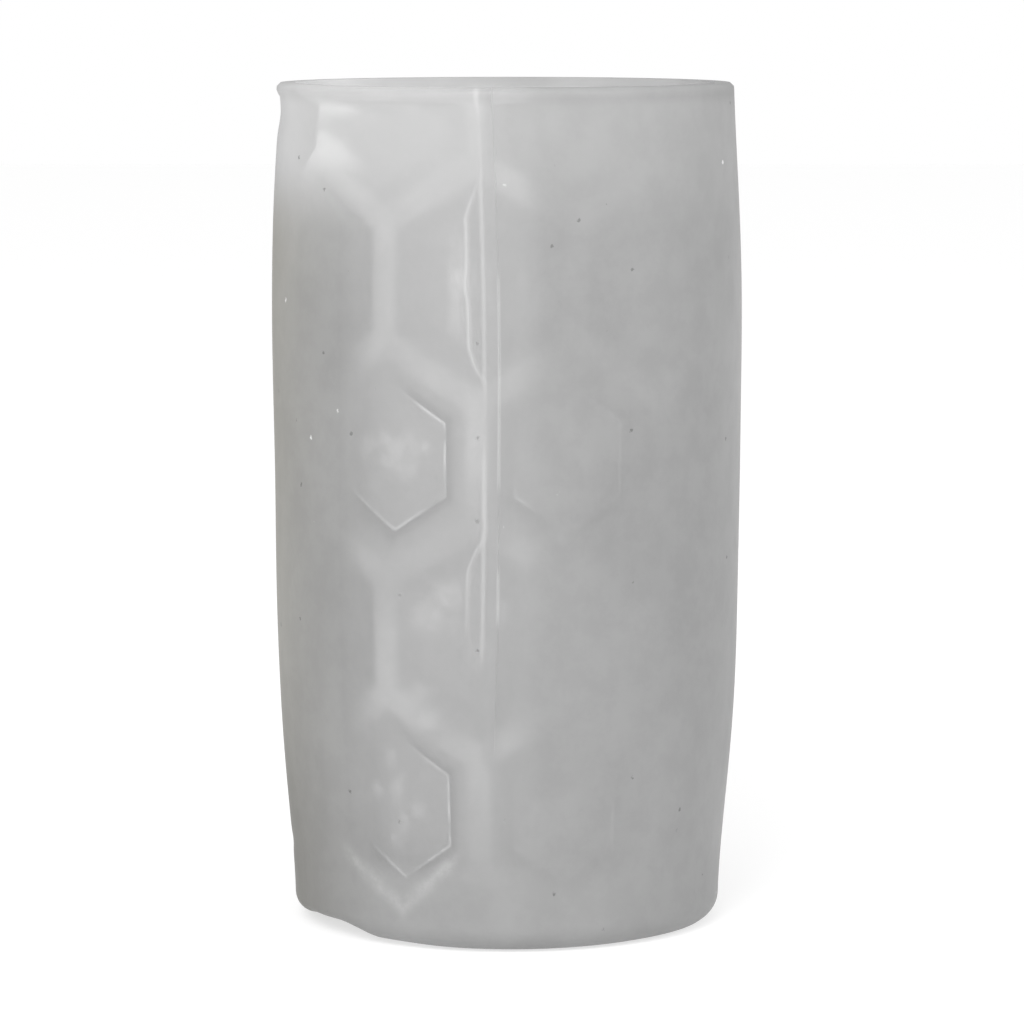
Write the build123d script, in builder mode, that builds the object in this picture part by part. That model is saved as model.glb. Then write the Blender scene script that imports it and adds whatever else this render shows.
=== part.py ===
"""Candle mold: a slit silicone sleeve with a honeycomb in relief inside.

Millimetres, +Z up. The origin is the centre of the base, and the cut faces -Y.
The casting is one piece of rubber. It is divided where it works as different
members: a floor, a ring of wall that never opens, a strip at the back that
bends, and two flaps that peel apart at the cut.
"""

import math
import os

from build123d import *

# Outside of the sleeve, as radii at heights above the base
HEIGHT = 136.0
EDGE_RADIUS = 4.0
BASE_RADIUS = 34.7
LOWER_RADIUS, LOWER_HEIGHT = 35.5, 15.0
WAIST_RADIUS, WAIST_HEIGHT = 37.3, 42.0
BELLY_RADIUS, BELLY_HEIGHT = 38.1, 91.0
RIM_RADIUS = 36.5

# Inside of the sleeve
WALL = 2.8
FLOOR_THICKNESS = 6.0
WICK_HOLE_RADIUS = 1.0

# Honeycomb: hexagonal bosses that stand in from the wall, below a plain lip
CELLS_AROUND = 7
CELL_PITCH = 360.0 / CELLS_AROUND
ROW_HEIGHTS = [21.9, 49.9, 77.8, 105.8, 133.7]
ROW_ANGLE = 18.1
BOSS_TOP_DISTANCE = 31.2
BOSS_ROOT_DISTANCE = 37.0
BOSS_TOP_SIDE = 10.4
BOSS_ROOT_SIDE = 16.6
LIP_HEIGHT = 2.6

# The cut: its mouth on the outer face and its end on the inner face
CUT_END_HEIGHT = 30.0
CUT_OUTER = (-1.1, -38.1)
CUT_INNER = (-5.9, -31.5)
CUT_GAP = 0.3
CUT_REACH = 12.0

# The bending strip opposite the cut
HINGE_HALF_ANGLE = 12.0
HINGE_GAP = 0.3
SPACE = 100.0


def sector_corner(angle, distance):
    """A point at an angle measured from the front of the mold towards +X."""
    turn = math.radians(angle)
    return (distance * math.sin(turn), -distance * math.cos(turn))


# The whole outside, solid
with BuildPart() as outside:
    with BuildSketch(Plane.XZ) as outside_half:
        with BuildLine():
            Line((0, 0), (BASE_RADIUS - EDGE_RADIUS, 0))
            RadiusArc(
                (BASE_RADIUS - EDGE_RADIUS, 0), (BASE_RADIUS, EDGE_RADIUS), -EDGE_RADIUS
            )
            Spline(
                (BASE_RADIUS, EDGE_RADIUS),
                (LOWER_RADIUS, LOWER_HEIGHT),
                (WAIST_RADIUS, WAIST_HEIGHT),
                (BELLY_RADIUS, BELLY_HEIGHT),
                (RIM_RADIUS, HEIGHT),
            )
            Line((RIM_RADIUS, HEIGHT), (0, HEIGHT))
            Line((0, HEIGHT), (0, 0))
        make_face()
    revolve(axis=Axis.Z)

# One hexagonal boss, pointing in from the front wall, with its axis at height 0
with BuildPart() as boss:
    with BuildSketch(Plane.XZ.offset(BOSS_TOP_DISTANCE)):
        RegularPolygon(BOSS_TOP_SIDE, 6, rotation=30)
    with BuildSketch(Plane.XZ.offset(BOSS_ROOT_DISTANCE)):
        RegularPolygon(BOSS_ROOT_SIDE, 6, rotation=30)
    loft()

# A boss of the top row, cut short below the plain lip of the rim
with BuildPart() as short_boss:
    add(boss.part)
    split(bisect_by=Plane.XY.offset(HEIGHT - LIP_HEIGHT - ROW_HEIGHTS[-1]), keep=Keep.BOTTOM)

# The shape of the candle: the hollow of the mold, with a recess for each boss
with BuildPart() as candle:
    with BuildSketch(Plane.XZ):
        with BuildLine():
            Line((0, FLOOR_THICKNESS), (BASE_RADIUS - WALL, FLOOR_THICKNESS))
            Spline(
                (BASE_RADIUS - WALL, FLOOR_THICKNESS),
                (LOWER_RADIUS - WALL, LOWER_HEIGHT),
                (WAIST_RADIUS - WALL, WAIST_HEIGHT),
                (BELLY_RADIUS - WALL, BELLY_HEIGHT),
                (RIM_RADIUS - WALL, HEIGHT + 0.5),
            )
            Line((RIM_RADIUS - WALL, HEIGHT + 0.5), (0, HEIGHT + 0.5))
            Line((0, HEIGHT + 0.5), (0, FLOOR_THICKNESS))
        make_face()
    revolve(axis=Axis.Z)
    for row, height in enumerate(ROW_HEIGHTS):
        first = ROW_ANGLE + (row % 2) * CELL_PITCH / 2
        turns = [first + cell * CELL_PITCH for cell in range(CELLS_AROUND)]
        shape = short_boss.part if height == ROW_HEIGHTS[-1] else boss.part
        with Locations(*[Location((0, 0, height), (0, 0, turn)) for turn in turns]):
            add(shape, mode=Mode.SUBTRACT)

# The casting before it is divided
with BuildPart() as casting:
    add(outside.part)
    add(candle.part, mode=Mode.SUBTRACT)

# Floor, with the hole for the wick
with BuildPart() as floor:
    add(casting.part)
    with BuildSketch(Plane.XY.offset(FLOOR_THICKNESS)):
        Circle(SPACE)
    extrude(amount=HEIGHT, mode=Mode.SUBTRACT)
    with BuildSketch(Plane.XY):
        Circle(WICK_HOLE_RADIUS)
    extrude(amount=FLOOR_THICKNESS, mode=Mode.SUBTRACT)

# Ring of wall between the floor and the end of the cut
with BuildPart() as base_wall:
    add(casting.part)
    with BuildSketch(Plane.XY.offset(FLOOR_THICKNESS)):
        Circle(SPACE)
    extrude(amount=CUT_END_HEIGHT - FLOOR_THICKNESS, mode=Mode.INTERSECT)

# Strip of wall opposite the cut
with BuildPart() as back_web:
    add(casting.part)
    with BuildSketch(Plane.XY.offset(CUT_END_HEIGHT)):
        with BuildLine():
            Polyline(
                (0, 0),
                sector_corner(180 - HINGE_HALF_ANGLE, SPACE),
                sector_corner(180 + HINGE_HALF_ANGLE, SPACE),
                close=True,
            )
        make_face()
    extrude(amount=HEIGHT, mode=Mode.INTERSECT)


def cut_side_corners(side):
    """Corners of the face of the cut: beyond the outer wall, then beyond the inner."""
    run_x = CUT_INNER[0] - CUT_OUTER[0]
    run_y = CUT_INNER[1] - CUT_OUTER[1]
    length = math.hypot(run_x, run_y)
    along = (run_x / length, run_y / length)
    across = (along[1] * side * CUT_GAP / 2, -along[0] * side * CUT_GAP / 2)
    outer = (
        CUT_OUTER[0] - along[0] * CUT_REACH + across[0],
        CUT_OUTER[1] - along[1] * CUT_REACH + across[1],
    )
    inner = (
        CUT_INNER[0] + along[0] * CUT_REACH + across[0],
        CUT_INNER[1] + along[1] * CUT_REACH + across[1],
    )
    return outer, inner


def hinge_side_corners(side):
    """Corners of a flap's end face at the bending strip, from inside to outside."""
    angle = 180 - side * HINGE_HALF_ANGLE
    turn = math.radians(angle)
    step = (-math.cos(turn) * side * HINGE_GAP, -math.sin(turn) * side * HINGE_GAP)
    inner = sector_corner(angle, 20.0)
    outer = sector_corner(angle, SPACE)
    return (
        (inner[0] + step[0], inner[1] + step[1]),
        (outer[0] + step[0], outer[1] + step[1]),
    )


def flap_outline(side):
    """Plan of the space a flap fills: side is 1 for the right flap, -1 for the left."""
    cut_outer, cut_inner = cut_side_corners(side)
    hinge_inner, hinge_outer = hinge_side_corners(side)
    return [
        cut_inner,
        cut_outer,
        (side * SPACE, -SPACE),
        (side * SPACE, SPACE),
        hinge_outer,
        hinge_inner,
    ]


# Flap on the left of the cut
with BuildPart() as left_flap:
    add(casting.part)
    with BuildSketch(Plane.XY.offset(CUT_END_HEIGHT + CUT_GAP)):
        with BuildLine():
            Polyline(*flap_outline(-1), close=True)
        make_face()
    extrude(amount=HEIGHT, mode=Mode.INTERSECT)

# Flap on the right of the cut
with BuildPart() as right_flap:
    add(casting.part)
    with BuildSketch(Plane.XY.offset(CUT_END_HEIGHT + CUT_GAP)):
        with BuildLine():
            Polyline(*flap_outline(1), close=True)
        make_face()
    extrude(amount=HEIGHT, mode=Mode.INTERSECT)

os.makedirs("parts", exist_ok=True)
floor.part.label = "floor"
export_step(floor.part, "parts/floor.step")
base_wall.part.label = "base_wall"
export_step(base_wall.part, "parts/base_wall.step")
back_web.part.label = "back_web"
export_step(back_web.part, "parts/back_web.step")
left_flap.part.label = "left_flap"
export_step(left_flap.part, "parts/left_flap.step")
right_flap.part.label = "right_flap"
export_step(right_flap.part, "parts/right_flap.step")
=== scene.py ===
"""Looks of the candle mold: a slit sleeve of milky silicone with a honeycomb in relief inside.

The wall is built as two halves that meet at the cut and at the back. The cut runs down from the
rim; at the foot and the back the two halves are joined.
"""

import math

import bpy
import numpy as np
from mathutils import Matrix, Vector


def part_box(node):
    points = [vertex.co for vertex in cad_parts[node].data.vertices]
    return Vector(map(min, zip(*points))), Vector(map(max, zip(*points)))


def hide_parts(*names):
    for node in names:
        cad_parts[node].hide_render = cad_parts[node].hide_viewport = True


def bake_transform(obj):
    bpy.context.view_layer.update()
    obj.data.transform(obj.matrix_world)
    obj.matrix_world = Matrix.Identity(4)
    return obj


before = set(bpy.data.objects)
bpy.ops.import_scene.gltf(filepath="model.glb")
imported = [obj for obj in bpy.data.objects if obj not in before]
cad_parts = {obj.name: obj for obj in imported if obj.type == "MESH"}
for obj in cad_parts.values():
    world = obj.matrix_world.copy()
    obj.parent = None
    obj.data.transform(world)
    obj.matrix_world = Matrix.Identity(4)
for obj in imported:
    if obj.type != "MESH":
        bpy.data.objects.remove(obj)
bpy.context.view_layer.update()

MM = 0.001

# The whole object, from the frame
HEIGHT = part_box("back_web")[1].z / MM
FLOOR_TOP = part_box("floor")[1].z / MM
CUT_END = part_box("left_flap")[0].z / MM

# Outside of the sleeve: radius at heights above the base, in millimetres
PROFILE_HEIGHTS = (4.0, 10.0, 17.0, 24.0, 33.0, 50.0, 68.0, 90.0, 108.0, 122.0, 136.0)
PROFILE_RADII = (34.7, 35.1, 35.5, 36.3, 37.0, 37.5, 37.8, 38.05, 37.8, 37.3, 36.5)
EDGE_RADIUS = 4.0
RIM_ROUND = 0.9
FOOT_TRIM = 2.0

# Honeycomb inside
CELLS_AROUND = 7
ROW_HEIGHTS = (21.9, 49.9, 77.8, 105.8, 133.7)
ROW_ANGLE = math.radians(18.1)
GROOVE_WALL = 3.0
BOSS_HEIGHT = 2.9
UNROLL_RADIUS = 35.0
ROW_STRETCH = 0.973
CELL_HALF = 15.7
BOSS_ROOT = 13.7
BOSS_TOP = 9.6
LIP_HEIGHT = 2.6

# Strength of the painted shade and highlight at the bosses' edges, row by row from the lowest
ROW_CRISPNESS = (1.0, 0.15, 1.0, 0.10, 0.0)

# Pale patches of painted highlight behind the skin: angle in degrees, height, half width,
# half height
HIGHLIGHT_PATCHES = (
    (-14.0, 105.5, 1.6, 7.0),
    (-44.0, 79.2, 1.5, 1.6),
    (-37.0, 80.8, 1.5, 1.2),
    (-36.5, 77.2, 1.6, 1.4),
    (-24.0, 79.6, 1.1, 1.1),
    (-17.0, 56.5, 2.4, 2.2),
    (-22.5, 53.0, 2.4, 2.4),
    (-24.5, 40.5, 2.0, 1.6),
    (-21.5, 37.0, 1.8, 1.8),
    (-37.0, 29.6, 1.5, 1.6),
    (-35.0, 24.9, 1.3, 1.5),
    (-43.0, 24.3, 1.4, 1.3),
    (-28.0, 21.8, 1.6, 1.4),
    (18.0, 86.6, 1.4, 0.6),
    (14.5, 65.4, 1.2, 1.0),
    (60.0, 99.2, 0.9, 0.8),
)

# The cut, in plan: where it meets the outer face, and its slant towards the inside
CUT_OUTER = (-1.1, -38.1)
CUT_INNER = (-5.9, -31.5)
CUT_GAP = 0.04
CUT_FADE = 9.0
STEP_DEPTH = 4.0

# Mesh density
COLUMNS = 184
WALL_ROWS = 224
CORNER_ROWS = 14
FLOOR_ROWS = 18
CAP_STEPS = 6
BACK_STRETCH = 0.25

WICK_HOLE_RADIUS = 1.0
FILLET = 1.5

# Where the skin hides more of the relief and takes a darker painted shade,
# on each side of the pale stretch by the cut
RIGHT_EDGE = math.radians(0.0)
LEFT_EDGE = math.radians(-34.0)
# Middle of the band of painted light along the cut
SLIT_LIGHT_ANGLE = math.radians(-1.5)


def smoothstep(x):
    """0 below 0, 1 above 1, and smooth between."""
    t = np.clip(x, 0.0, 1.0)
    return t * t * (3.0 - 2.0 * t)


# ---------------------------------------------------------------- shape of the wall

profile = np.polynomial.Polynomial.fit(PROFILE_HEIGHTS, PROFILE_RADII, 6)


def waviness(theta, z):
    """Slight unevenness of a hand-poured casting, in millimetres."""
    slow = 0.10 * np.sin(2.0 * theta + 0.031 * z + 0.6) + 0.06 * np.sin(3.0 * theta - 0.052 * z)
    quick = 0.025 * np.sin(7.0 * theta + 0.11 * z) + 0.02 * np.sin(5.0 * theta - 0.19 * z + 1.0)
    return slow + quick


def near_angle(theta, middle_deg, width_deg):
    """A soft bump of height 1 around one direction."""
    turn = np.mod(theta - math.radians(middle_deg) + math.pi, 2.0 * math.pi) - math.pi
    return np.exp(-((turn / math.radians(width_deg)) ** 2))


def blemishes(theta, z):
    """The burr on the rim at the left, the hollow under it, and a dent near the foot, in mm."""
    left = near_angle(theta, -88.0, 26.0)
    burr = 0.55 * smoothstep((z - (HEIGHT - 2.4)) / 1.2) * near_angle(theta, -88.0, 17.0)
    hollow = -0.35 * np.exp(-(((z - (HEIGHT - 5.0)) / 2.5) ** 2)) * left
    dent = -0.15 * np.exp(-(((z - 12.5) / 1.6) ** 2)) * left
    return burr + hollow + dent


def foot_lift(theta):
    """How far the trimmed edge of the foot stands off the floor, in millimetres."""
    front_end = smoothstep((math.radians(-37.0) - theta) / math.radians(18.0))
    less_beside = 0.35 + 0.65 * smoothstep((theta + math.radians(86.0)) / math.radians(20.0))
    back_end = smoothstep((theta + math.radians(135.0)) / math.radians(45.0))
    trimmed = FOOT_TRIM * front_end * less_beside * back_end
    return trimmed + 0.4 * near_angle(theta, -40.0, 16.0)


def outer_radius(theta, z):
    """Radius of the outer face."""
    return profile(np.clip(z, EDGE_RADIUS, HEIGHT)) + waviness(theta, z) + blemishes(theta, z)


def cell_field(theta, z):
    """For each point of the inner face: the distance from its cell's middle, measured across the
    hexagon's flats, and the strength of the painted shade and highlight at the boss's edge there,
    least at the upper left."""
    pitch = 2.0 * math.pi / CELLS_AROUND
    best = np.full(np.broadcast(theta, z).shape, 1e9)
    clear = np.zeros_like(best)
    for row, height in enumerate(ROW_HEIGHTS):
        first = ROW_ANGLE + (row % 2) * pitch / 2.0
        across = (np.mod(theta - first + pitch / 2.0, pitch) - pitch / 2.0) * UNROLL_RADIUS
        up = (z - height) * ROW_STRETCH
        distance = np.maximum(np.abs(across), np.abs(across) / 2.0 + np.abs(up) * math.sqrt(0.75))
        turned = (across * 0.8 - up * 0.6) / np.maximum(np.hypot(across, up), 1e-6)
        nearer = distance < best
        best = np.where(nearer, distance, best)
        clear = np.where(nearer, smoothstep(turned / 0.6 + 1.1) * ROW_CRISPNESS[row], clear)
    return best, clear


def lump_field(theta, z):
    """Soft rough lumps on the tops of the bosses, from 0 to 1."""
    rng = np.random.default_rng(7)
    pitch = 2.0 * math.pi / CELLS_AROUND
    total = np.zeros(np.broadcast(theta, z).shape)
    for row, height in enumerate(ROW_HEIGHTS):
        for cell in range(CELLS_AROUND):
            middle = ROW_ANGLE + (row % 2) * pitch / 2.0 + cell * pitch
            for _ in range(7):
                across, up = rng.normal(0.0, 3.2), rng.normal(0.5, 3.6)
                size = rng.uniform(0.8, 2.0)
                strength = rng.uniform(0.5, 1.0)
                turn = np.mod(theta - middle + math.pi, 2.0 * math.pi) - math.pi
                far = (turn * UNROLL_RADIUS - across) ** 2 + (z - height - up) ** 2
                total = total + strength * np.exp(-far / (2.0 * size * size))
    return np.clip(total, 0.0, 1.3)


def highlight_patch_field(theta, z):
    """The patches of painted highlight, from 0 to 1."""
    total = np.zeros(np.broadcast(theta, z).shape)
    for angle, height, half_width, half_height in HIGHLIGHT_PATCHES:
        turn = np.mod(theta - math.radians(angle) + math.pi, 2.0 * math.pi) - math.pi
        sideways = np.abs(turn * UNROLL_RADIUS / half_width)
        upwards = np.abs((z - height) / half_height)
        total = np.maximum(total, np.exp(-(sideways**3 + upwards**3)))
    return total


def boss_rise(distance):
    """Height of a boss above the groove, from 0 to 1."""
    ramp = np.clip((BOSS_ROOT - distance) / (BOSS_ROOT - BOSS_TOP), 0.0, 1.0)
    return 0.6 * ramp + 0.4 * smoothstep(ramp)


def inner_radius(theta, z):
    """Radius of the inner face, with its relief."""
    distance, _ = cell_field(theta, z)
    crown = 0.30 * lump_field(theta, z) * smoothstep((BOSS_TOP - distance) / 2.0)
    groove = 0.35 * smoothstep((distance - BOSS_ROOT) / (CELL_HALF - BOSS_ROOT))
    below_lip = smoothstep((HEIGHT - LIP_HEIGHT - z) / 2.4 + 0.4)
    relief = (BOSS_HEIGHT * boss_rise(distance) + crown - groove) * below_lip
    return outer_radius(theta, z) - GROOVE_WALL - relief


def cut_direction(z):
    """Plan direction of the cut from the outer face inwards; below its end the seam is radial."""
    slant = smoothstep((z - (CUT_END - CUT_FADE)) / CUT_FADE)
    slanted = np.array(CUT_INNER) - np.array(CUT_OUTER)
    slanted = slanted / np.linalg.norm(slanted)
    radial = -np.array(CUT_OUTER) / np.linalg.norm(CUT_OUTER)
    x = slant * slanted[0] + (1.0 - slant) * radial[0]
    y = slant * slanted[1] + (1.0 - slant) * radial[1]
    length = np.hypot(x, y)
    return x / length, y / length


def seam_angle(z, radius_at):
    """Angle at which the plane of the cut meets a face of the wall, at each height."""
    dx, dy = cut_direction(z)
    near = np.full_like(z, -6.0)
    far = np.full_like(z, 12.0)
    for _ in range(30):
        middle = (near + far) / 2.0
        x = CUT_OUTER[0] + dx * middle
        y = CUT_OUTER[1] + dy * middle
        outside = np.hypot(x, y) > radius_at(np.arctan2(x, -y), z)
        near = np.where(outside, middle, near)
        far = np.where(outside, far, middle)
    x = CUT_OUTER[0] + dx * near
    y = CUT_OUTER[1] + dy * near
    return np.arctan2(x, -y)


# ---------------------------------------------------------------- mesh of one half


def wall_heights():
    return np.linspace(HEIGHT, FLOOR_TOP + FILLET, WALL_ROWS)


def fan(side, seam, z):
    """Angles of the columns of a half, from the seam at the front to the back."""
    even = np.linspace(0.0, 1.0, COLUMNS)
    share = even * (1.0 - BACK_STRETCH + BACK_STRETCH * even)
    gap = CUT_GAP * smoothstep((z - CUT_END) / CUT_FADE)
    start = seam + side * gap / 2.0 / UNROLL_RADIUS
    return start[:, None] + (side * math.pi - start)[:, None] * share[None, :]


def ring_points(theta, radius, z):
    """Points of a grid of rows and columns, as (rows, columns, 3)."""
    z = np.broadcast_to(z, theta.shape)
    return np.stack([radius * np.sin(theta), -radius * np.cos(theta), z], axis=-1)


def outer_grid(side):
    """Rows of points down the outer face, round the foot and in under the floor."""
    z = wall_heights()
    theta = fan(side, seam_angle(z, outer_radius), z)
    rim = np.clip((z - (HEIGHT - RIM_ROUND)) / RIM_ROUND, 0.0, 1.0)
    inset = RIM_ROUND * (1.0 - np.sqrt(1.0 - rim * rim)) * 0.7
    wall = ring_points(theta, outer_radius(theta, z[:, None]) - inset[:, None], z[:, None])

    foot = theta[-1:, :]
    arc = np.linspace(0.0, 1.0, CORNER_ROWS + 1)[1:]
    z_corner = (FLOOR_TOP + FILLET) * (1.0 - arc)
    drop = np.clip(1.0 - z_corner / EDGE_RADIUS, 0.0, 1.0)
    pulled = EDGE_RADIUS * (1.0 - np.sqrt(1.0 - drop * drop))
    corner_theta = np.repeat(foot, CORNER_ROWS, axis=0)
    corner_radius = outer_radius(corner_theta, z_corner[:, None]) - pulled[:, None]
    lift = foot_lift(corner_theta) * (1.0 - z_corner[:, None] / (FLOOR_TOP + FILLET)) ** 2
    corner = ring_points(corner_theta, corner_radius, z_corner[:, None] + lift)

    inward = np.linspace(1.0, 0.0, FLOOR_ROWS + 1)[1:, None]
    edge = corner_radius[-1:, :]
    floor_theta = np.repeat(foot, FLOOR_ROWS, axis=0)
    floor_radius = WICK_HOLE_RADIUS + (edge - WICK_HOLE_RADIUS) * inward
    under = ring_points(floor_theta, floor_radius, foot_lift(floor_theta) * inward**6)
    return np.concatenate([wall, corner, under])


def inner_grid(side):
    """Rows of points down the inner face, round the fillet and over the floor."""
    z = wall_heights()
    theta = fan(side, seam_angle(z, inner_radius), z)
    radius = inner_radius(theta, z[:, None])
    wall = ring_points(theta, radius, z[:, None])

    foot = theta[-1:, :]
    arc = np.linspace(0.0, 1.0, CORNER_ROWS + 1)[1:] * math.pi / 2.0
    corner_theta = np.repeat(foot, CORNER_ROWS, axis=0)
    corner_radius = radius[-1:, :] - FILLET * (1.0 - np.cos(arc))[:, None]
    corner_z = FLOOR_TOP + FILLET * (1.0 - np.sin(arc))
    corner = ring_points(corner_theta, corner_radius, corner_z[:, None])

    inward = np.linspace(1.0, 0.0, FLOOR_ROWS + 1)[1:, None]
    edge = corner_radius[-1:, :]
    floor_theta = np.repeat(foot, FLOOR_ROWS, axis=0)
    floor_radius = WICK_HOLE_RADIUS + (edge - WICK_HOLE_RADIUS) * inward
    floor = ring_points(floor_theta, floor_radius, np.full((FLOOR_ROWS, 1), FLOOR_TOP))
    return np.concatenate([wall, corner, floor])


OUTSIDE, INSIDE, CUT_FACE, SEAM = range(4)


def half_mesh(name, side):
    """A closed mesh of one half: its two faces, rim, wick hole, cut face and back seam."""
    outer, inner = outer_grid(side), inner_grid(side)
    rows = outer.shape[0]
    share = np.linspace(0.0, 1.0, CAP_STEPS + 1)[None, :, None]
    caps = []
    for column in (0, -1):
        between = outer[:, column, None, :] * (1.0 - share) + inner[:, column, None, :] * share
        caps.append(between[:, 1:-1, :])
    points = np.concatenate([
        outer.reshape(-1, 3),
        inner.reshape(-1, 3),
        caps[0].reshape(-1, 3),
        caps[1].reshape(-1, 3),
    ])
    from_edge = [np.linalg.norm(face - face[:, :1], axis=-1).ravel() for face in (outer, inner)]
    depths = [np.linalg.norm(outer[:, column] - inner[:, column], axis=-1) for column in (0, -1)]
    across_caps = np.concatenate([np.outer(depth, share[0, 1:-1, 0]).ravel() for depth in depths])
    edge_distance = np.concatenate([*from_edge, np.full_like(across_caps, 99.0)])
    on_inner = np.zeros((rows, COLUMNS))
    on_inner[:, 0], on_inner[:, -1] = depths
    cut_depth = np.concatenate([np.zeros(rows * COLUMNS), on_inner.ravel(), across_caps])

    grid = rows * COLUMNS
    cap = rows * (CAP_STEPS - 1)

    def outer_index(row, column):
        return row * COLUMNS + column

    def inner_index(row, column):
        return grid + row * COLUMNS + column

    def cap_index(row, step, end):
        """Index of a point on the cut face (end 0) or the back seam (end 1)."""
        column = 0 if end == 0 else COLUMNS - 1
        if step == 0:
            return outer_index(row, column)
        if step == CAP_STEPS:
            return inner_index(row, column)
        return 2 * grid + end * cap + row * (CAP_STEPS - 1) + step - 1

    faces, kinds = [], []

    def add_face(corners, kind, flip):
        faces.append(corners[::-1] if flip else corners)
        kinds.append(kind)

    flip = side < 0
    for row in range(rows - 1):
        for column in range(COLUMNS - 1):
            a, b = outer_index(row, column), outer_index(row + 1, column)
            c, d = outer_index(row + 1, column + 1), outer_index(row, column + 1)
            add_face([a, b, c, d], OUTSIDE, flip)
            a, b = inner_index(row, column), inner_index(row + 1, column)
            c, d = inner_index(row + 1, column + 1), inner_index(row, column + 1)
            add_face([a, b, c, d], INSIDE, not flip)
    for row, turned in ((0, flip), (rows - 1, not flip)):
        for column in range(COLUMNS - 1):
            corners = [outer_index(row, column), outer_index(row, column + 1)]
            if column == COLUMNS - 2:
                corners += [cap_index(row, step, 1) for step in range(1, CAP_STEPS)]
            corners += [inner_index(row, column + 1), inner_index(row, column)]
            if column == 0:
                corners += [cap_index(row, step, 0) for step in range(CAP_STEPS - 1, 0, -1)]
            add_face(corners, OUTSIDE, turned)
    for row in range(rows - 1):
        low = points[cap_index(row + 1, 0, 0), 2]
        front = CUT_FACE if row < WALL_ROWS and low >= CUT_END else SEAM
        for step in range(CAP_STEPS):
            for end in (0, 1):
                a, b = cap_index(row, step, end), cap_index(row + 1, step, end)
                c, d = cap_index(row + 1, step + 1, end), cap_index(row, step + 1, end)
                kind = front if end == 0 else SEAM
                add_face([a, b, c, d], kind, flip if end == 1 else not flip)

    mesh = bpy.data.meshes.new(name)
    mesh.from_pydata((points * MM).tolist(), [], faces)
    mesh.polygons.foreach_set("material_index", kinds)
    store_relief(mesh, points, edge_distance, cut_depth)
    mesh.shade_smooth()
    mesh.set_sharp_from_angle(angle=math.radians(50.0))
    mesh.validate()
    return mesh


def towards_back(theta):
    """0 at the front and the sides, rising to 1 at the back."""
    return smoothstep((np.abs(theta) - math.radians(120.0)) / math.radians(60.0))


def cover_and_shade_field(theta, z):
    """How much rubber hides the relief and how deep the painted shade is, from 0 to 1: least in
    the stretch left of the cut.
    """
    right = 0.68 * smoothstep((theta - RIGHT_EDGE) / math.radians(10.0))
    right = right * (1.0 - 0.3 * near_angle(theta, 108.0, 42.0))
    reach = LEFT_EDGE - math.radians(32.0) * smoothstep((z - 114.0) / 14.0)
    left = 0.75 * smoothstep((reach - theta) / math.radians(12.0))
    return np.maximum(right, left) * (1.0 - towards_back(theta))


def slit_light_field(theta, z):
    """The pale band of painted light along the cut, from 0 to 1."""
    turn = theta - SLIT_LIGHT_ANGLE
    return np.exp(-((turn / math.radians(5.0)) ** 2)) * smoothstep((z - 4.0) / 10.0)


def glow_field(theta, z):
    """How much light the open rim lets into the wall, from 0 to 1: most at the upper left."""
    side = 1.0 - 0.72 * smoothstep((theta + math.radians(24.0)) / math.radians(30.0))
    side = side + (0.4 - side) * towards_back(theta) + 0.25 * near_angle(theta, -72.0, 30.0)
    return side * (0.35 * smoothstep((z - 96.0) / 40.0) + 0.65 * smoothstep((z - 112.0) / 14.0))


def gleam_field(theta, z):
    """Painted highlights on two facets of the relief below the rim at the left, from 0 to 1:
    a tooth that widens downwards and a short band above it."""
    angle = np.degrees(theta)
    drop = 129.0 - z
    tooth = smoothstep((angle + 61.0 + 2.6 * drop) / 3.0)
    tooth = tooth * smoothstep((2.3 * drop - 54.5 - angle) / 6.0)
    tooth = 0.8 * tooth * smoothstep(drop / 0.8) * (1.0 - smoothstep((drop - 3.5) / 4.0))
    band = smoothstep((angle + 62.0) / 1.5) * smoothstep((-46.0 - angle) / 8.0)
    band = band * smoothstep((z - 130.2) / 2.0) * smoothstep((133.3 - z) / 0.4)
    return np.maximum(tooth, 0.7 * band)


def toe_highlight_field(theta, z):
    """The pale V of painted highlight where the lowest boss at the left runs out above the floor,
    from 0 to 1.
    """
    angle = np.degrees(theta)
    middle = 6.7 + np.where(angle > -28.2, 0.55, 0.44) * np.abs(angle + 28.2)
    ends = smoothstep((angle + 50.0) / 8.0) * smoothstep((-10.0 - angle) / 7.0)
    return np.exp(-(((z - middle) / 1.5) ** 2)) * ends


def flank_shade_field(theta, z):
    """Painted shade on the flanks, most at the left and at the foot, from 0 to 1."""
    low = 0.27 + 0.73 * smoothstep((60.0 - z) / 50.0)
    left = near_angle(theta, -90.0, 32.0) * low * smoothstep((126.0 - z) / 22.0)
    right = 0.25 * near_angle(theta, 80.0, 30.0) * smoothstep((75.0 - z) / 60.0)
    return left + right


def tint_field(theta, z):
    """The faintly warm edge of the left flank, from 0 to 1."""
    return near_angle(theta, -90.0, 30.0) * smoothstep((124.0 - z) / 16.0)


def mouth_field(theta, z):
    """Painted shade (up to 1, at the back right) and painted light (-1, left) inside the lip."""
    lip = smoothstep((z - (HEIGHT - LIP_HEIGHT - 1.0)) / 1.0)
    lip = lip * smoothstep((np.abs(theta) - math.radians(60.0)) / 0.5)
    darker = lip * smoothstep((np.sin(theta) + 0.75) / 0.9)
    paler = lip * smoothstep((-0.6 - np.sin(theta)) / 0.3)
    return darker - paler


def rim_shade_field(z):
    """The faint darker line just under the rim, from 0 to 1."""
    line = np.exp(-(((z - (HEIGHT - 1.7)) / 0.9) ** 2))
    return line + 0.5 * smoothstep((z - HEIGHT) / 0.5 + 1.0)


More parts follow.
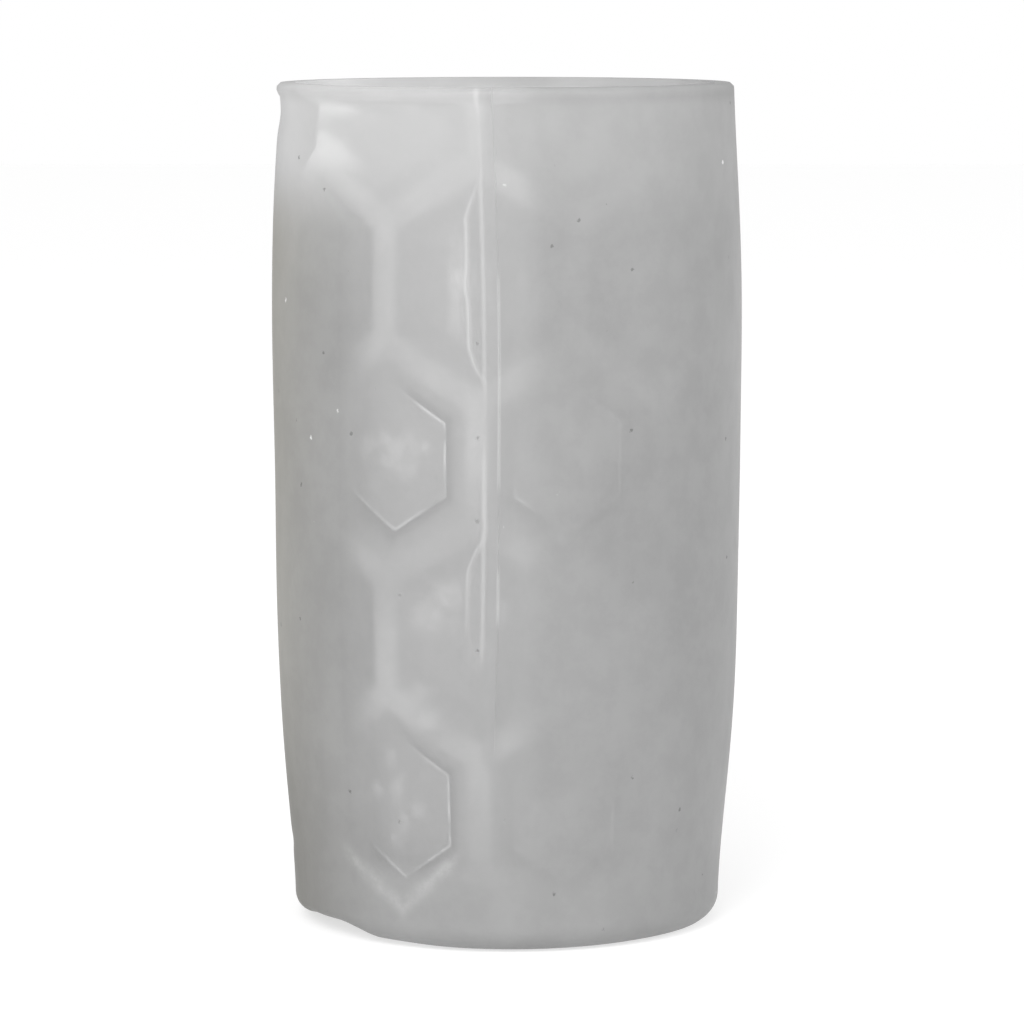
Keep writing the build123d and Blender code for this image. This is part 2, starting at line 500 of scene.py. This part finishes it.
def store_relief(mesh, points, edge_distance, cut_depth):
    """Writes the honeycomb's and the cut's measures, and the masks of painted light and shade, on
    the points, for the materials to use.
    """
    theta, z = np.arctan2(points[:, 0], -points[:, 1]), points[:, 2]
    distance, clear = cell_field(theta, z)
    radius = np.hypot(points[:, 0], points[:, 1])
    plain = (radius < 28.0) | (z > HEIGHT - LIP_HEIGHT)
    on_wall = smoothstep((radius - 22.0) / 8.0)
    measures = {
        "cell_distance": np.where(plain, CELL_HALF, distance),
        "cell_clear": clear * (1.0 - 0.85 * smoothstep((np.abs(theta) - math.radians(80.0)) / 0.7)),
        "lumps": np.where(plain | (distance > BOSS_ROOT), 0.0, lump_field(theta, z)),
        "highlight_patches": np.where(plain, 0.0, highlight_patch_field(theta, z)),
        "cover_and_shade": cover_and_shade_field(theta, z),
        "slit_light": slit_light_field(theta, z),
        "glow": glow_field(theta, z),
        "gleam": gleam_field(theta, z),
        "flank_shade": flank_shade_field(theta, z) * on_wall,
        "tint": tint_field(theta, z) * on_wall,
        "mouth": mouth_field(theta, z),
        "rim_shade": rim_shade_field(z),
        "toe_highlight": toe_highlight_field(theta, z),
        "foot": 1.0 - smoothstep((z - 8.0) / 7.0),
        "edge_distance": np.where(z > CUT_END - CUT_FADE, edge_distance, 99.0),
        "cut_depth": cut_depth,
    }
    for name, values in measures.items():
        attribute = mesh.attributes.new(name, "FLOAT", "POINT")
        attribute.data.foreach_set("value", values.astype(np.float32))
    place = mesh.attributes.new("rest_place", "FLOAT_VECTOR", "POINT")
    place.data.foreach_set("vector", (points * MM).astype(np.float32).ravel())


# ---------------------------------------------------------------- materials

SILICONE_IOR = 1.41

class Nodes:
    """Short calls for building a material's nodes."""

    def __init__(self, name):
        self.material = bpy.data.materials.new(name)
        self.material.use_nodes = True
        self.tree = self.material.node_tree
        self.tree.nodes.clear()
        self.output = self.tree.nodes.new("ShaderNodeOutputMaterial")

    def add(self, kind, inputs=None, **settings):
        node = self.tree.nodes.new(kind)
        for key, value in settings.items():
            setattr(node, key, value)
        for key, value in (inputs or {}).items():
            if isinstance(value, bpy.types.NodeSocket):
                self.tree.links.new(value, node.inputs[key])
            else:
                node.inputs[key].default_value = value
        return node

    def attribute(self, name):
        return self.add("ShaderNodeAttribute", attribute_name=name).outputs["Fac"]

    def place(self):
        """The point's place on the mold at rest, in metres, so patterns bend with the wall."""
        return self.add("ShaderNodeAttribute", attribute_name="rest_place").outputs["Vector"]

    def ramp(self, value, low, high, start=0.0, end=1.0, smooth=True):
        """Maps low..high to start..end."""
        inputs = {"Value": value, "From Min": low, "From Max": high, "To Min": start, "To Max": end}
        kind = "SMOOTHSTEP" if smooth else "LINEAR"
        return self.add("ShaderNodeMapRange", inputs, interpolation_type=kind).outputs["Result"]

    def math(self, operation, a, b=0.0):
        return self.add("ShaderNodeMath", {0: a, 1: b}, operation=operation).outputs["Value"]

    def mix(self, factor, a, b, blend="MIX"):
        node = self.add("ShaderNodeMix", data_type="RGBA", clamp_factor=True, blend_type=blend)
        for index, value in ((0, factor), (6, a), (7, b)):
            if isinstance(value, bpy.types.NodeSocket):
                self.tree.links.new(value, node.inputs[index])
            else:
                node.inputs[index].default_value = value
        return node.outputs[2]

    def noise(self, scale, detail=4.0, roughness=0.55, stretch=(1.0, 1.0, 1.0)):
        inputs = {"Vector": self.place(), "Scale": stretch}
        moved = self.add("ShaderNodeMapping", inputs).outputs["Vector"]
        inputs = {"Vector": moved, "Scale": scale, "Detail": detail, "Roughness": roughness}
        return self.add("ShaderNodeTexNoise", inputs).outputs["Fac"]

    def finish(self, shader):
        self.tree.links.new(shader, self.output.inputs["Surface"])
        return self.material


def grey(value):
    return (value, value, value, 1.0)


def speck_mask(n, scale, share):
    """1 on small scattered specks, 0 elsewhere."""
    jitter = n.add("ShaderNodeTexNoise", {"Vector": n.place(), "Scale": 2600.0, "Detail": 1.0})
    inputs = {0: jitter.outputs["Color"], "Scale": 0.0007}
    shift = n.add("ShaderNodeVectorMath", inputs, operation="SCALE")
    place = n.add("ShaderNodeVectorMath", {0: n.place(), 1: shift.outputs[0]}, operation="ADD")
    cells = n.add("ShaderNodeTexVoronoi", {"Vector": place.outputs[0], "Scale": scale})
    near = n.ramp(cells.outputs["Distance"], 0.05, 0.10, 1.0, 0.0)
    pick = n.add("ShaderNodeSeparateColor", {"Color": cells.outputs["Color"]}).outputs["Red"]
    chosen = n.math("GREATER_THAN", pick, 1.0 - share)
    return n.math("MULTIPLY", near, chosen)


def edge_line(n, width, scale, low, high):
    """A fine broken painted highlight along the edge of the cut."""
    near = n.ramp(n.attribute("edge_distance"), 0.0, width, 1.0, 0.0)
    broken = n.ramp(n.noise(scale, 2.0, 0.5, (0.2, 0.2, 1.0)), low, high)
    return n.math("MULTIPLY", near, broken)


def skin_material():
    """The outer face: milky, satin, with the relief behind showing through."""
    n = Nodes("silicone_skin")
    shade_and_cover, slit_light, glow = n.attribute("cover_and_shade"), n.attribute("slit_light"), n.attribute("glow")
    cloud = n.ramp(n.noise(38.0, 3.0, 0.5, (1.0, 1.0, 0.6)), 0.35, 0.65)
    mottle = n.ramp(n.noise(190.0, 4.0, 0.65), 0.35, 0.65)
    blotch = n.mix(0.4, cloud, mottle)
    # The pale stretch by the cut and the darker rest are painted light and painted shade.
    lit_colour = n.mix(blotch, grey(0.49), grey(0.53))
    shaded_colour = n.mix(blotch, grey(0.335), grey(0.39))
    colour = n.mix(n.ramp(shade_and_cover, 0.0, 0.68, smooth=False), lit_colour, shaded_colour)
    # A pale band of painted light along the cut.
    colour = n.mix(n.math("MULTIPLY", slit_light, 0.5), colour, grey(0.46))
    colour = n.mix(n.ramp(glow, 0.0, 1.2, 0.0, 0.78, smooth=False), colour, grey(0.67))
    foot = n.attribute("foot")
    foot_colour = n.mix(blotch, grey(0.315), grey(0.36))
    colour = n.mix(n.math("MULTIPLY", foot, 0.85), colour, foot_colour)
    # A pale V of painted highlight above the floor, which also hides the relief a little.
    broken = n.ramp(n.noise(430.0, 4.0, 0.7), 0.34, 0.64, 0.5, 1.0)
    toe_highlight = n.math("MULTIPLY", n.attribute("toe_highlight"), broken)
    colour = n.mix(n.math("MULTIPLY", toe_highlight, 0.42), colour, grey(0.58))
    # Painted shade on the flanks.
    colour = n.mix(n.math("MULTIPLY", n.attribute("flank_shade"), 0.45), colour, grey(0.0))
    colour = n.mix(n.math("MULTIPLY", n.attribute("rim_shade"), 0.10), colour, grey(0.0))
    colour = n.mix(n.attribute("tint"), colour, (1.03, 1.0, 0.90, 1.0), "MULTIPLY")
    # A painted highlight along the cut's edge.
    edge = edge_line(n, 0.36, 60.0, 0.50, 0.60)
    colour = n.mix(n.math("MULTIPLY", edge, 0.40), colour, grey(0.95))
    colour = n.mix(n.math("MULTIPLY", speck_mask(n, 250.0, 0.20), 0.6), colour, grey(0.10))
    colour = n.mix(n.math("MULTIPLY", speck_mask(n, 230.0, 0.07), 0.8), colour, grey(0.98))
    fine = n.noise(900.0, 3.0, 0.6)
    handling = n.noise(60.0, 4.0, 0.6, (1.0, 1.0, 0.25))
    roughness = n.ramp(handling, 0.3, 0.7, 0.34, 0.48)
    bump = n.add("ShaderNodeBump", {"Height": fine, "Strength": 0.08, "Distance": 0.0004})
    soft = n.add(
        "ShaderNodeBsdfPrincipled",
        {
            "Base Color": colour,
            "Roughness": roughness,
            "IOR": SILICONE_IOR,
            "Normal": bump.outputs["Normal"],
        },
    )
    through = n.add("ShaderNodeBsdfTranslucent", {"Color": colour})
    milk = n.add("ShaderNodeMixShader", {0: 0.2, 1: soft.outputs[0], 2: through.outputs[0]})
    clear = n.add("ShaderNodeBsdfTransparent", {"Color": grey(0.96)})
    facing = n.add("ShaderNodeLayerWeight", {"Blend": 0.35}).outputs["Facing"]
    grazing = n.ramp(facing, 0.05, 0.7)
    cover = n.ramp(shade_and_cover, 0.0, 1.0, 0.42, 1.0, smooth=False)
    cover = n.math("ADD", cover, n.math("MULTIPLY", slit_light, 0.12))
    clearness = n.math("SUBTRACT", 1.0, cover)
    for hidden in (grazing, foot, n.math("MULTIPLY", toe_highlight, 0.6)):
        clearness = n.math("MULTIPLY", clearness, n.math("SUBTRACT", 1.0, hidden))
    mixed = n.add("ShaderNodeMixShader", {0: clearness, 1: milk.outputs[0], 2: clear.outputs[0]})
    return n.finish(mixed.outputs[0])


def relief_material():
    """The inner face: lighter in the grooves and darker on the bevels, painted light and shade;
    rough on the bosses, with painted highlights that glow a little.
    """
    n = Nodes("silicone_relief")
    distance, clear = n.attribute("cell_distance"), n.attribute("cell_clear")
    uneven = n.ramp(n.noise(55.0, 2.0, 0.5), 0.36, 0.62, 0.25, 1.0)
    # Lighter grooves and darker bevels are painted light and painted shade.
    groove = n.math("MULTIPLY", n.ramp(distance, BOSS_TOP + 3.2, BOSS_ROOT + 1.0), uneven)
    boss = n.ramp(distance, BOSS_TOP - 1.6, BOSS_TOP + 0.6, 1.0, 0.0)
    colour = n.mix(groove, grey(0.70), grey(0.92))
    colour = n.mix(boss, colour, grey(0.70))
    bevel_shade = n.ramp(n.math("SUBTRACT", distance, BOSS_TOP + 0.3), 0.0, 2.6, 0.45, 0.0)
    bevel_shade = n.math("MULTIPLY", bevel_shade, n.ramp(distance, BOSS_TOP + 0.1, BOSS_TOP + 0.5))
    colour = n.mix(n.math("MULTIPLY", bevel_shade, clear), colour, grey(0.22))
    rough = n.noise(430.0, 4.0, 0.7)
    # The lumps and the patches are lightened, painted highlights broken up by rough noise.
    lumps = n.ramp(n.attribute("lumps"), 0.15, 1.1, 0.0, 0.75)
    highlight_patches = n.attribute("highlight_patches")
    lump_and_patch_highlight = n.math("MAXIMUM", lumps, highlight_patches)
    patch_highlight = n.math("MULTIPLY", lump_and_patch_highlight, n.ramp(rough, 0.34, 0.64, 0.35, 1.0))
    colour = n.mix(patch_highlight, colour, grey(1.0))
    glow = n.attribute("glow")
    colour = n.mix(n.ramp(glow, 0.0, 1.2, 0.0, 0.5, smooth=False), colour, grey(0.90))
    # A fine pale outline at the edge of each boss top, a painted highlight.
    line = n.ramp(n.math("ABSOLUTE", n.math("SUBTRACT", distance, BOSS_TOP)), 0.0, 0.42, 1.0, 0.0)
    broken = n.ramp(n.noise(150.0, 2.0, 0.6), 0.38, 0.64)
    line = n.math("MULTIPLY", n.math("MULTIPLY", line, clear), broken)
    line = n.math("MULTIPLY", line, n.ramp(n.attribute("cover_and_shade"), 0.0, 0.6, 1.0, 0.55))
    colour = n.mix(line, colour, grey(1.0))
    # A painted highlight along the cut's edge.
    edge = n.math("MULTIPLY", edge_line(n, 0.7, 34.0, 0.46, 0.58), 0.8)
    colour = n.mix(edge, colour, grey(1.0))
    # Painted highlights below the rim.
    gleam = n.attribute("gleam")
    colour = n.mix(gleam, colour, grey(1.0))
    bright = n.math("MAXIMUM", n.math("MAXIMUM", gleam, edge), n.math("MULTIPLY", line, 0.65))
    mouth = n.attribute("mouth")
    # Painted shade and painted light inside the lip.
    colour = n.mix(n.math("MULTIPLY", mouth, 0.42), colour, grey(0.42))
    colour = n.mix(n.math("MULTIPLY", mouth, -1.0), colour, grey(1.0))
    wall = n.add("ShaderNodeBsdfDiffuse", {"Color": colour, "Roughness": 0.4})
    through = n.add("ShaderNodeBsdfTranslucent", {"Color": colour})
    mixed = n.add("ShaderNodeMixShader", {0: 0.42, 1: wall.outputs[0], 2: through.outputs[0]})
    # The painted highlights also glow a little, though nothing there is a lamp.
    strength = n.math("MULTIPLY", bright, 0.20)
    glint = n.add("ShaderNodeEmission", {"Color": grey(1.0), "Strength": strength})
    total = n.add("ShaderNodeAddShader", {0: mixed.outputs[0], 1: glint.outputs[0]})
    return n.finish(total.outputs[0])


def cut_material():
    """The faces of the cut: clean, pale and half clear, with a painted highlight along a fine step
    half-way in, which also glows a little.
    """
    n = Nodes("silicone_cut")
    drag = n.noise(300.0, 2.0, 0.5, (1.0, 1.0, 0.08))
    colour = n.mix(n.ramp(drag, 0.3, 0.7), grey(0.74), grey(0.86))
    from_step = n.math("ABSOLUTE", n.math("SUBTRACT", n.attribute("cut_depth"), STEP_DEPTH))
    step = n.ramp(from_step, 0.0, 1.0, 0.75, 0.0)
    step = n.math("MULTIPLY", step, n.ramp(n.noise(35.0, 2.0, 0.5, (0.2, 0.2, 1.0)), 0.36, 0.5))
    colour = n.mix(step, colour, grey(1.0))
    bump = n.add("ShaderNodeBump", {"Height": drag, "Strength": 0.2, "Distance": 0.0003})
    soft = n.add(
        "ShaderNodeBsdfPrincipled",
        {
            "Base Color": colour,
            "Roughness": 0.35,
            "IOR": SILICONE_IOR,
            "Normal": bump.outputs["Normal"],
        },
    )
    clear = n.add("ShaderNodeBsdfTransparent", {"Color": grey(0.97)})
    cover = n.ramp(step, 0.0, 1.0, 0.25, 0.5, smooth=False)
    mixed = n.add("ShaderNodeMixShader", {0: cover, 1: clear.outputs[0], 2: soft.outputs[0]})
    strength = n.math("MULTIPLY", step, 0.07)
    glint = n.add("ShaderNodeEmission", {"Color": grey(1.0), "Strength": strength})
    total = n.add("ShaderNodeAddShader", {0: mixed.outputs[0], 1: glint.outputs[0]})
    return n.finish(total.outputs[0])


def seam_material():
    """Where the two halves are one piece of rubber: nothing shows."""
    n = Nodes("silicone_joined")
    clear = n.add("ShaderNodeBsdfTransparent", {"Color": grey(1.0)})
    return n.finish(clear.outputs[0])


def floor_material():
    """A plain pale light table."""
    n = Nodes("studio_floor")
    paper = n.noise(3.0, 3.0, 0.5)
    colour = n.mix(n.ramp(paper, 0.3, 0.7), grey(0.42), grey(0.44))
    plain = n.add("ShaderNodeBsdfDiffuse", {"Color": colour, "Roughness": 0.5})
    lit = n.add("ShaderNodeEmission", {"Color": grey(1.0), "Strength": 0.62})
    mixed = n.add("ShaderNodeAddShader", {0: plain.outputs[0], 1: lit.outputs[0]})
    return n.finish(mixed.outputs[0])


# ---------------------------------------------------------------- pieces


def add_half(name, side, materials):
    mesh = half_mesh(name, side)
    for material in materials:
        mesh.materials.append(material)
    piece = bpy.data.objects.new(name, mesh)
    bpy.context.scene.collection.objects.link(piece)
    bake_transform(piece)
    return piece


# ---------------------------------------------------------------- studio

CAMERA_DISTANCE = 0.800
CAMERA_HEIGHT = 0.1555
CAMERA_SIDE = 0.0008
CAMERA_PITCH = math.radians(6.37)
CAMERA_LENS = 173.7

LIGHT_FROM = (-0.05, -0.85, 0.60)
LIGHT_RANGE = (0.60, 1.25)
FLOOR_DROP = 0.15


def add_camera():
    data = bpy.data.cameras.new("camera")
    data.lens = CAMERA_LENS
    data.sensor_width = 36.0
    data.clip_start = 0.01
    camera = bpy.data.objects.new("camera", data)
    camera.location = (CAMERA_SIDE, -CAMERA_DISTANCE, CAMERA_HEIGHT)
    camera.rotation_euler = (math.pi / 2.0 - CAMERA_PITCH, 0.0, 0.0)
    bpy.context.scene.collection.objects.link(camera)
    bpy.context.scene.camera = camera


def add_light(name, place, target, size, watts):
    data = bpy.data.lights.new(name, "AREA")
    data.shape = "DISK"
    data.size = size
    data.energy = watts
    lamp = bpy.data.objects.new(name, data)
    lamp.location = place
    lamp.rotation_euler = (Vector(target) - Vector(place)).to_track_quat("-Z", "Y").to_euler()
    bpy.context.scene.collection.objects.link(lamp)


def studio_world():
    """Even white for the backdrop; the light itself is stronger from the front and above."""
    world = bpy.data.worlds.new("studio")
    world.use_nodes = True
    tree = world.node_tree
    backdrop = tree.nodes["Background"]
    backdrop.inputs["Color"].default_value = grey(1.0)
    light = tree.nodes.new("ShaderNodeBackground")
    place = tree.nodes.new("ShaderNodeTexCoord")
    towards = tree.nodes.new("ShaderNodeVectorMath")
    towards.operation = "DOT_PRODUCT"
    towards.inputs[1].default_value = Vector(LIGHT_FROM).normalized()
    level = tree.nodes.new("ShaderNodeMapRange")
    for name, value in zip(("From Min", "From Max", "To Min", "To Max"), (-0.6, 1.0, *LIGHT_RANGE)):
        level.inputs[name].default_value = value
    path = tree.nodes.new("ShaderNodeLightPath")
    choose = tree.nodes.new("ShaderNodeMixShader")
    tree.links.new(place.outputs["Generated"], towards.inputs[0])
    tree.links.new(towards.outputs["Value"], level.inputs["Value"])
    tree.links.new(level.outputs["Result"], light.inputs["Strength"])
    tree.links.new(path.outputs["Is Camera Ray"], choose.inputs[0])
    tree.links.new(light.outputs[0], choose.inputs[1])
    tree.links.new(backdrop.outputs[0], choose.inputs[2])
    tree.links.new(choose.outputs[0], tree.nodes["World Output"].inputs["Surface"])
    return world


def add_studio():
    middle = (0.0, 0.0, HEIGHT * MM / 2.0)
    add_light("key", (-0.22, -0.75, 0.55), middle, 0.50, 4.0)
    add_light("fill", (0.60, -0.50, 0.45), middle, 0.60, 1.6)
    bpy.context.scene.world = studio_world()
    side = 3.0
    mesh = bpy.data.meshes.new("floor_sheet")
    level = -FLOOR_DROP * MM
    corners = [(x * side, y * side, level) for x, y in ((-1, -1), (1, -1), (1, 1), (-1, 1))]
    mesh.from_pydata(corners, [], [(0, 1, 2, 3)])
    mesh.materials.append(floor_material())
    floor = bpy.data.objects.new("floor_sheet", mesh)
    bpy.context.scene.collection.objects.link(floor)


materials = (skin_material(), relief_material(), cut_material(), seam_material())
left = add_half("left_half", -1, materials)
right = add_half("right_half", 1, materials)
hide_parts("left_flap", "base_wall", "floor")
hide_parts("right_flap", "back_web")
add_camera()
add_studio()
bpy.context.scene.view_settings.view_transform = "Standard"
